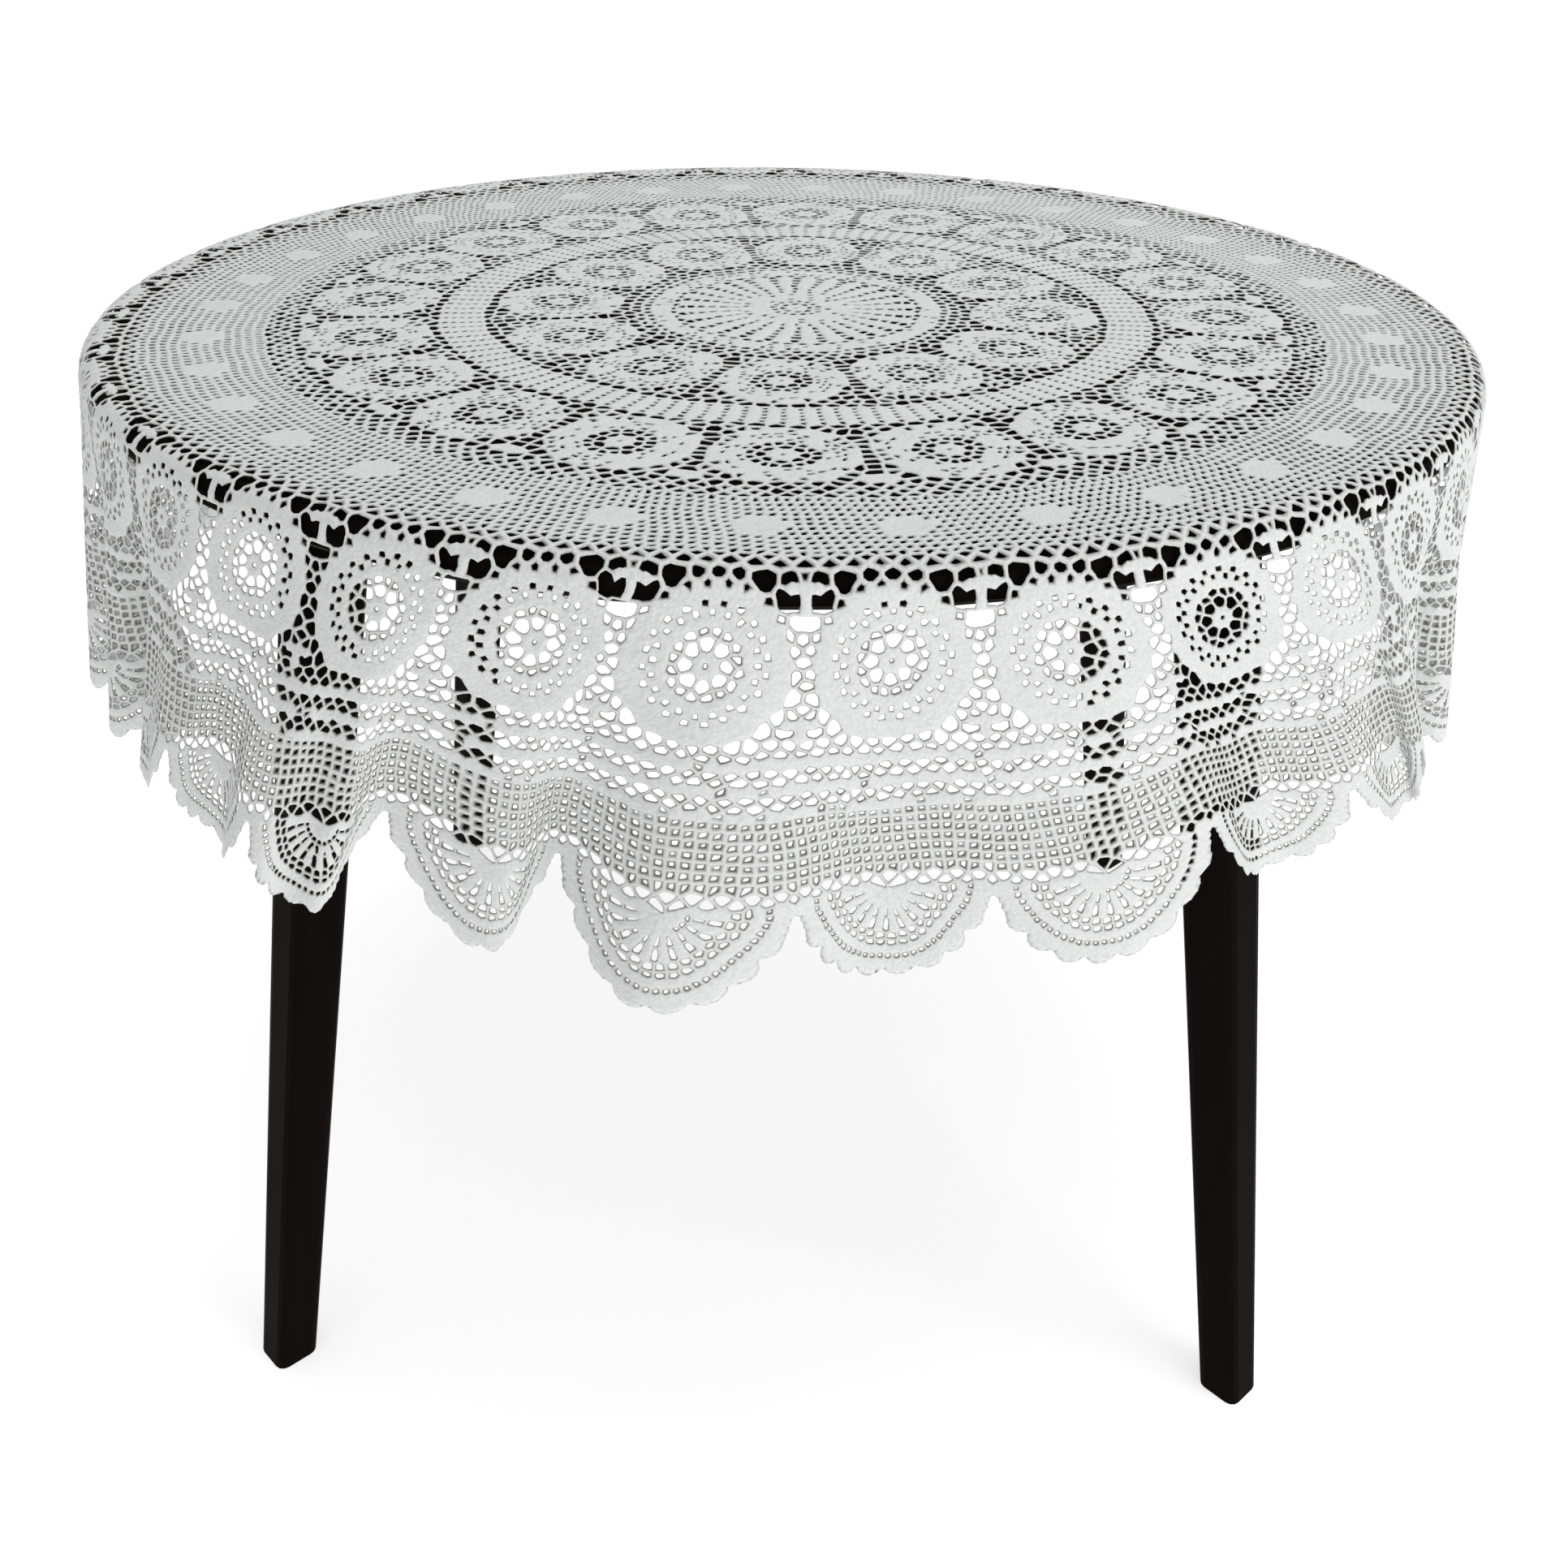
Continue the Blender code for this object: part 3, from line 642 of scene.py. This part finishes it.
def goneAlong(angles, lengths):
    across, out = lengths * np.sin(np.radians(angles)), lengths * np.cos(np.radians(angles))
    return np.concatenate([[0], np.cumsum(np.hypot(np.diff(across), np.diff(out)))])


fanAngles = np.arange(-scallop["halfAngle"], scallop["halfAngle"] + 0.5, 1.0)
fanLengths = np.array([fanLength(angle) for angle in fanAngles])
hemGone = goneAlong(fanAngles, fanLengths)
hemGone = hemGone / hemGone[-1]


def fanRow(inset, pitch):
    kept = fanLengths > inset + scallop["leastLength"]
    angles, radii = fanAngles[kept], fanLengths[kept] - inset
    gone = goneAlong(angles, radii)
    count = max(2, round(gone[-1] / pitch))
    wanted = (np.arange(count) + 0.5) * gone[-1] / count
    return list(zip(np.interp(wanted, gone, radii), np.interp(wanted, gone, angles)))


def chartScallops():
    rows = [(fanRow(inset, pitch), strand) for inset, pitch, strand in scallop["rows"]]
    edge = fanRow(-scallop["outside"], scallop["edgePitch"])
    spokes, zigzagEnd = 2 * scallop["ladders"], weave["zigzag"][-1][0]
    for number in range(drape["repeats"]):
        tip = drape["firstTip"] + number * repeatAngle
        for row, strand in rows:
            for radius, angle in row:
                spot = aroundMotif(scallop["centre"], tip, radius, angle)
                if math.hypot(*spot) > zigzagEnd + scallop["rowClear"]:
                    stitch(*spot, strand, None, scallop["rowGap"])
        for radius, angle in edge:
            x, y = aroundMotif(scallop["centre"], tip, radius, angle)
            if math.hypot(x, y) > hemRadius(math.degrees(math.atan2(x, -y))) + scallop["outside"] / 2:
                outside.append(wavy(x, y))
        for spoke in range(spokes + 1):
            angle = scallop["firstSpoke"] + scallop["spokeSpan"] * spoke / spokes
            length = np.interp(angle, fanAngles, fanLengths) - scallop["petalEnd"]
            strand = scallop["ladderStrand"] if spoke % 2 else None
            radius, step = scallop["ladderFirst"], 0
            while radius < length:
                slit = ("slit", number, spoke, step // scallop["cellsInSlit"]) if strand else None
                spot = aroundMotif(scallop["centre"], tip, radius, angle)
                if math.hypot(*spot) > zigzagEnd + scallop["ladderClear"]:
                    stitch(*spot, strand, slit, scallop["ladderGap"])
                radius, step = radius + scallop["ladderPitch"], step + 1


def chartOutside():
    for number in range(drape["repeats"]):
        turn = drape["firstTip"] + (number + 0.5) * repeatAngle
        outside.append(wavy(*place(scallop["notch"] + scallop["notchOutside"], turn)))
    radius, count = scallop["farRing"]
    for number in range(count):
        outside.append(place(radius, 360.0 * number / count))


# Uneven cells wherever a wide place is left between the motifs
fillers = {"step": 3.0, "gap": 7.9, "zones": ((128, 226, 2.15), (266, 362, 2.15), (482, 590, 1.0))}


def chartFillers():
    for inner, outer, strand in fillers["zones"]:
        for radius in np.arange(inner, outer, fillers["step"]):
            count = int(tau * radius / fillers["step"])
            for number in range(count):
                stitch(*place(radius, 360.0 * number / count), strand, None, fillers["gap"], True)


chartRosette()
chartMedallionRound(innerRound)
chartMedallionRound(outerRound)
chartLadder()
chartBorder()
chartFilet()
chartRim()
for number in range(drape["repeats"]):
    chartDrop(drape["firstTip"] + number * repeatAngle)
chartWeave()
chartScallops()
chartOutside()
chartFillers()
print("chart:", len(chart), "cells")


# The strands: the chart's stitches become cells, the walls between cells carry the strands, and each
# hole's rim is drawn in from its walls
lace = {
    "weld": 1e-7, "sliver": 1e-9, "mergeBelow": 0.9, "splitAbove": 6.4,      # mm, the sliver in square mm
    "round": 0.3, "least": 0.22, "most": 0.9, "mendings": 4, "shortest": 0.06,
    "leastWall": 0.01, "leastSpread": 0.35, "leastRun": 0.02,
    "thick": 0.9, "thin": 0.5, "gain": 0.2, "low": 0.45, "puff": 1.05,
    # tablePaintedShade and openingPaintedShade set the painted shade at the hole rims: a little on the
    # table, more round the small holes of the hanging part
    "onTable": 0.95, "tablePaintedShade": 0.12, "tableEdge": (462.0, 484.0),
    "opening": (0.8, 2.5, 7.5), "openingPaintedShade": (0.45, 1.35, 0.5),
}


def sides(ring):
    return zip(ring, ring[1:] + ring[:1])


def wallOf(first, second):
    return (first, second) if first < second else (second, first)


def cornersOf(points):
    spots = [Vector(point) for point in points]
    _, _, triangles, cameFrom, _, _ = delaunay_2d_cdt(spots, [], [], 0, lace["weld"])
    source = np.array([names[0] for names in cameFrom])
    triangles = source[np.array([tuple(triangle) for triangle in triangles])]
    a, b, c = (np.array(points)[triangles[:, i]] for i in range(3))
    ab, ac = b - a, c - a
    twice = 2 * (ab[:, 0] * ac[:, 1] - ab[:, 1] * ac[:, 0])
    flip = twice < 0
    triangles[flip] = triangles[flip][:, ::-1]
    lengthB, lengthC = (ab ** 2).sum(1), (ac ** 2).sum(1)
    safe = np.where(np.abs(twice) < lace["sliver"], lace["sliver"], twice)
    offX = ac[:, 1] * lengthB - ab[:, 1] * lengthC
    offY = ab[:, 0] * lengthC - ac[:, 0] * lengthB
    return triangles, a + np.stack([offX, offY], 1) / safe[:, None]


def joinClose(triangles, centres, cellCount):
    wall, parent = {}, list(range(len(centres)))

    def root(item):
        while parent[item] != item:
            parent[item] = parent[parent[item]]
            item = parent[item]
        return item

    for number, corners in enumerate(triangles.tolist()):
        for first, second in sides(corners):
            key = wallOf(first, second)
            if key in wall:
                other = wall[key]
                if min(key) < cellCount and math.dist(centres[number], centres[other]) < lace["mergeBelow"]:
                    parent[root(number)] = root(other)
            else:
                wall[key] = number
    labels = np.array([root(item) for item in range(len(centres))])
    _, index = np.unique(labels, return_inverse=True)
    count = np.bincount(index)
    merged = np.stack([np.bincount(index, centres[:, i]) / count for i in range(2)], 1)
    return index, merged


def ringsOfCells(points, triangles, index, cellCount):
    tri = np.repeat(np.arange(len(triangles)), 3)
    owner = triangles.ravel()
    middle = np.array(points)[triangles].mean(axis=1)[tri]
    aim = middle - np.array(points)[owner]
    order = np.lexsort((np.arctan2(aim[:, 1], aim[:, 0]), owner))
    rings = [[] for _ in points]
    for cell, corner in zip(owner[order].tolist(), index[tri[order]].tolist()):
        if not rings[cell] or rings[cell][-1] != corner:
            rings[cell].append(corner)
    for ring in rings:
        if len(ring) > 1 and ring[0] == ring[-1]:
            ring.pop()
    return rings[:cellCount], rings[cellCount:]


def joinGroups(rings):
    groups = {}
    for number, cell in enumerate(chart):
        groups.setdefault(("one", number) if cell.group is None else ("many", cell.group), []).append(number)
    joined = []
    for (kind, _), members in groups.items():
        if kind == "one":
            joined.append((members[0], rings[members[0]]))
            continue
        walls = {wall for member in members for wall in sides(rings[member])}
        ahead = {start: end for start, end in walls if (end, start) not in walls}
        while ahead:
            ring, here = [], next(iter(ahead))
            while here in ahead:
                ring.append(here)
                here = ahead.pop(here)
            joined.append((members[0], ring))
    return [(cell, ring) for cell, ring in joined if len(ring) > 2]


def toHem(x, y, number):
    across = (math.degrees(math.atan2(x, -y)) - drape["firstTip"]) / repeatAngle
    tip = drape["firstTip"] + round(across) * repeatAngle
    centreX, centreY = place(scallop["centre"], tip)
    outX, outY = place(1.0, tip)
    out = (x - centreX) * outX + (y - centreY) * outY
    aside = (y - centreY) * outX - (x - centreX) * outY
    angle = math.degrees(math.atan2(aside, out))
    moved = 1 - float(smoothStep(*scallop["notchAngles"], abs(angle)))
    share = np.interp(angle, fanAngles, hemGone) * scallop["bumps"]
    rounded = abs(math.sin(math.pi * share)) ** scallop["bumpPower"]
    bump = (rounded - scallop["bumpMiddle"]) * scallop["bumpDepth"]
    length = np.interp(angle, fanAngles, fanLengths) + bump + scallop["picot"] * (number % 2)
    newX, newY = wavy(*aroundMotif(scallop["centre"], tip, length, angle))
    return x + (newX - x) * moved, y + (newY - y) * moved


def splitWalls(corners, cells, outsideWalls):
    points, middles, edge = corners.tolist(), {}, set()
    for a, b in outsideWalls:
        if max(math.hypot(*points[a]), math.hypot(*points[b])) < scallop["farFrom"]:
            edge.update((a, b))
    for corner in edge:
        points[corner] = list(toHem(*points[corner], 0))
    finished = []
    for cell, ring in cells:
        longer = []
        for start, end in sides(ring):
            longer.append(start)
            key = wallOf(start, end)
            if key not in middles:
                length = math.dist(points[start], points[end])
                if key in outsideWalls:
                    parts = max(1, round(length / scallop["edgeStep"]))
                else:
                    parts = 2 if length > lace["splitAbove"] else 1
                middles[key] = []
                for part in range(1, parts):
                    share = part / parts
                    spot = [points[key[0]][i] * (1 - share) + points[key[1]][i] * share for i in range(2)]
                    if key in outsideWalls:
                        spot = list(toHem(*spot, part))
                        edge.add(len(points))
                    middles[key].append(len(points))
                    points.append(spot)
            longer.extend(middles[key] if start == key[0] else middles[key][::-1])
        finished.append((cell, longer))
    return np.array(points), finished, edge


def buildLace():
    points = [(cell.x, cell.y) for cell in chart] + outside
    triangles, centres = cornersOf(points)
    index, corners = joinClose(triangles, centres, len(chart))
    rings, outer = ringsOfCells(points, triangles, index, len(chart))
    outsideWalls = {wallOf(a, b) for ring in outer for a, b in sides(ring)}
    return splitWalls(corners, joinGroups(rings), outsideWalls)


def rimOf(corners, start, size, strands):
    # all rings stand in one row, and each corner has its next and previous one in its own ring
    total = int(size.sum())
    first = np.repeat(start, size)
    offset = np.arange(total) - first
    length = np.repeat(size, size)
    after = first + (offset + 1) % length
    before = first + (offset - 1) % length
    ahead = corners[after] - corners
    back = corners - corners[before]
    ahead /= np.linalg.norm(ahead, axis=1)[:, None]
    back /= np.linalg.norm(back, axis=1)[:, None]
    inAhead = np.stack([-ahead[:, 1], ahead[:, 0]], 1)
    inBack = np.stack([-back[:, 1], back[:, 0]], 1)
    spread = 1 + (inAhead * inBack).sum(1)
    owner = np.repeat(np.arange(len(size)), size)
    middle = np.stack([np.bincount(owner, corners[:, i]) / size for i in range(2)], 1)
    distance = ((middle[owner] - corners) * inAhead).sum(1)
    nearest = np.full(len(size), np.inf)
    np.minimum.at(nearest, owner, distance)
    nearest = np.maximum(nearest, lace["leastWall"])
    strand = np.minimum(strands, nearest * (1 - lace["least"]))
    inset = corners + (strand[owner] / np.maximum(spread, lace["leastSpread"]))[:, None] * (inAhead + inBack)
    for attempt in range(lace["mendings"]):
        turned = np.nonzero(((inset[after] - inset) * ahead).sum(1) < lace["shortest"])[0]
        middleOfWall = (inset[turned] + inset[after[turned]]) / 2
        inset[turned] = middleOfWall - ahead[turned] * lace["shortest"]
        inset[after[turned]] = middleOfWall + ahead[turned] * lace["shortest"]
    run = inset[after] - inset
    broken = np.zeros(len(size), bool)
    np.logical_or.at(broken, owner, (run * ahead).sum(1) <= lace["leastRun"])
    shrink = np.clip(1 - strands / nearest, lace["least"], lace["most"])
    scaled = middle[owner] + (corners - middle[owner]) * shrink[owner][:, None]
    rim = np.where(broken[owner][:, None], scaled, inset)
    return rim + lace["round"] * ((rim[after] + rim[before]) / 2 - rim), after, int(broken.sum())


def thicknessOf(flat, slot, holes, atEdge):
    # half the yarn's thickness at each corner: it grows with the strands, and the hem comes to an edge
    thickness = np.full(len(slot), lace["low"])
    near = {}
    for ring, strand in holes:
        for corner in ring:
            near.setdefault(corner, []).append(strand)
    for corner, strands in near.items():
        full = lace["thin"] + lace["gain"] * sum(strands) / len(strands)
        thickness[slot[corner]] = min(lace["thick"], full)
    thickness[atEdge] = 0
    return thickness * np.interp(np.hypot(*flat.T), lace["tableEdge"], (lace["onTable"], 1.0))


def creviceOf(corners, rim, holes, size):
    # how much painted shade each rim gets: a little on the table, and more round the small holes of the
    # hanging part
    across = np.array([min(map(math.dist, corners[ring], np.roll(corners[ring], len(ring) // 2, axis=0)))
                       for ring, _ in holes])
    opening = across - 2 * np.array([strand for _, strand in holes])
    hanging = np.interp(np.hypot(*rim.T), lace["tableEdge"], (0.0, 1.0))
    holePaintedShade = np.repeat(np.interp(opening, lace["opening"], lace["openingPaintedShade"]), size)
    return lace["tablePaintedShade"] + hanging * (holePaintedShade - lace["tablePaintedShade"])


def wallsOf(cells, shared, slot, bottomOf):
    # closes a sector where it meets the next one
    walls = []
    for _, ring in cells:
        for a, b in sides(ring):
            if wallOf(a, b) in shared:
                a, b = slot[a], slot[b]
                wall = tuple(dict.fromkeys((b, a, bottomOf[a], bottomOf[b])))
                if len(wall) > 2:
                    walls.append(wall)
    return walls


def markSharp(mesh, walls):
    sharp = {wallOf(a, b) for wall in walls for a, b in sides(wall)}
    ends = np.empty(2 * len(mesh.edges), dtype=np.int32)
    mesh.edges.foreach_get("vertices", ends)
    pairs = np.sort(ends.reshape(-1, 2), axis=1)
    marks = mesh.attributes.new("sharp_edge", "BOOLEAN", "EDGE")
    marks.data.foreach_set("value", [tuple(pair) in sharp for pair in pairs.tolist()])


def meshOfPiece(name, corners, cells, edge, shared):
    holes = [(ring, chart[cell].strand) for cell, ring in cells if chart[cell].strand]
    closed = [ring for cell, ring in cells if not chart[cell].strand]
    used = sorted({corner for _, ring in cells for corner in ring})
    slot = {corner: number for number, corner in enumerate(used)}
    atEdge = np.array([corner in edge for corner in used])
    size = np.array([len(ring) for ring, _ in holes])
    start = np.concatenate([[0], np.cumsum(size)[:-1]])
    ringCorners = np.array([corner for ring, _ in holes for corner in ring])
    strands = np.array([strand for _, strand in holes])
    rim, after, broken = rimOf(corners[ringCorners], start, size, strands)
    centres = np.array([corners[ring].mean(axis=0) for ring in closed])

    flat = np.concatenate([corners[used], rim, centres]) * mm
    world, normals = hangWithNormals(flat[:, 0], flat[:, 1])
    count, rimEnd = len(used), len(used) + len(rim)
    lift = normals[:count] * thicknessOf(corners[used], slot, holes, atEdge)[:, None] * mm
    puff = normals[rimEnd:] * lace["puff"] * mm
    vertices = np.concatenate([world[:count] + lift, world[:count] - lift, world[count:rimEnd],
                               world[rimEnd:] + puff, world[rimEnd:] - puff])
    flats = np.concatenate([flat[:count], flat, flat[rimEnd:]])
    bottomOf = [number if atEdge[number] else number + count for number in range(count)]
    rimFirst, topFirst = 2 * count, 2 * count + len(rim)
    ringSlots = [slot[corner] for corner in ringCorners.tolist()]
    faces = []
    for here, then in enumerate(after.tolist()):
        a, b = ringSlots[here], ringSlots[then]
        faces.append((a, b, rimFirst + then, rimFirst + here))
        faces.append((bottomOf[b], bottomOf[a], rimFirst + here, rimFirst + then))
    for number, ring in enumerate(closed):
        middleTop, middleBottom = topFirst + number, topFirst + len(closed) + number
        for a, b in sides(ring):
            a, b = slot[a], slot[b]
            faces.append((a, b, middleTop))
            faces.append((bottomOf[b], bottomOf[a], middleBottom))
    walls = wallsOf(cells, shared, slot, bottomOf)

    mesh = bpy.data.meshes.new(name)
    mesh.from_pydata(vertices.tolist(), [], faces + walls)
    mesh.polygons.foreach_set("use_smooth", [True] * len(faces) + [False] * len(walls))
    flatAttribute = mesh.attributes.new("flat", "FLOAT_VECTOR", "POINT")
    flatAttribute.data.foreach_set("vector", np.column_stack([flats, np.zeros(len(flats))]).ravel())
    # painted shade at the hole rims, kept per vertex for the cotton material to darken the yarn
    depth = np.zeros(len(vertices))
    depth[rimFirst:topFirst] = creviceOf(corners, rim, holes, size)
    paintedRimShade = mesh.attributes.new("paintedRimShade", "FLOAT", "POINT")
    paintedRimShade.data.foreach_set("value", depth)
    markSharp(mesh, walls)
    mesh.materials.append(cottonFinish)
    piece = bpy.data.objects.new(name, mesh)
    bpy.context.collection.objects.link(piece)
    triangles = sum(len(face) - 2 for face in faces + walls)
    print(name, len(cells), "cells,", triangles, "triangles,", broken, "scaled holes")
    return piece, triangles


# The cloth is one piece of crochet; its mesh is kept in sectors, which meet face to face inside a strand
sectors = {"count": 6, "first": 30.0, "flat": 0.745, "meanReach": 0.965, "yarnShare": 0.74}


def sectorOf(cell):
    turn = math.degrees(math.atan2(chart[cell].x, -chart[cell].y))
    number = int((turn - sectors["first"]) % 360 // (360 / sectors["count"])) + 1
    return "cloth_sector_" + str(number)


def makeCloth():
    corners, cells, edge = buildLace()
    pieceOf, shared, byPiece = {}, set(), {}
    for cell, ring in cells:
        name = sectorOf(cell)
        byPiece.setdefault(name, []).append((cell, ring))
        for a, b in sides(ring):
            key = wallOf(a, b)
            if pieceOf.setdefault(key, name) != name:
                shared.add(key)
    made = [meshOfPiece(name, corners, members, edge, shared) for name, members in sorted(byPiece.items())]
    print("cloth:", sum(triangles for _, triangles in made), "triangles")
    return [piece for piece, _ in made]


for piece in makeCloth():
    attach(piece, "root")
    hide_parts("cloth")
print("cloth draped")


# A plain pale floor and soft studio light
studio = {
    "floorSize": 60.0, "floorColour": (0.93, 0.93, 0.93, 1.0), "floorRoughness": 0.9,
    "glowColour": (1.0, 1.0, 1.0, 1.0), "floorGlow": 0.63,
    "skyColour": (1.0, 1.0, 1.0, 1.0), "skyStrength": 0.40,
    "lamps": (      # name, place, size in metres, watts
        ("key_softbox", (2.9, -2.3, 1.6), 2.2, 33.0),
        ("top_softbox", (0.4, 0.1, 3.2), 2.4, 34.0),
    ),
    "aim": Vector((0.0, 0.0, 0.55)),
}


def makeStudio():
    deselectAll()
    bpy.ops.mesh.primitive_plane_add(size=studio["floorSize"])
    floor = bpy.context.object
    floor.name = "studio_floor"
    material, shader, _ = newMaterial("pale_floor")
    shader.inputs["Base Color"].default_value = studio["floorColour"]
    shader.inputs["Roughness"].default_value = studio["floorRoughness"]
    shader.inputs["Emission Color"].default_value = studio["glowColour"]
    shader.inputs["Emission Strength"].default_value = studio["floorGlow"]
    floor.data.materials.append(material)
    world = bpy.data.worlds.new("studio_sky")
    world.use_nodes = True
    sky = world.node_tree.nodes["Background"]
    sky.inputs["Color"].default_value = studio["skyColour"]
    sky.inputs["Strength"].default_value = studio["skyStrength"]
    bpy.context.scene.world = world
    bpy.context.scene.view_settings.view_transform = "Standard"
    for name, spot, size, power in studio["lamps"]:
        bpy.ops.object.light_add(type="AREA", location=spot)
        lamp = bpy.context.object
        lamp.name = name
        lamp.data.size = size
        lamp.data.energy = power
        lamp.rotation_euler = (studio["aim"] - Vector(spot)).to_track_quat("-Z", "Y").to_euler()


makeStudio()
print("studio lit")
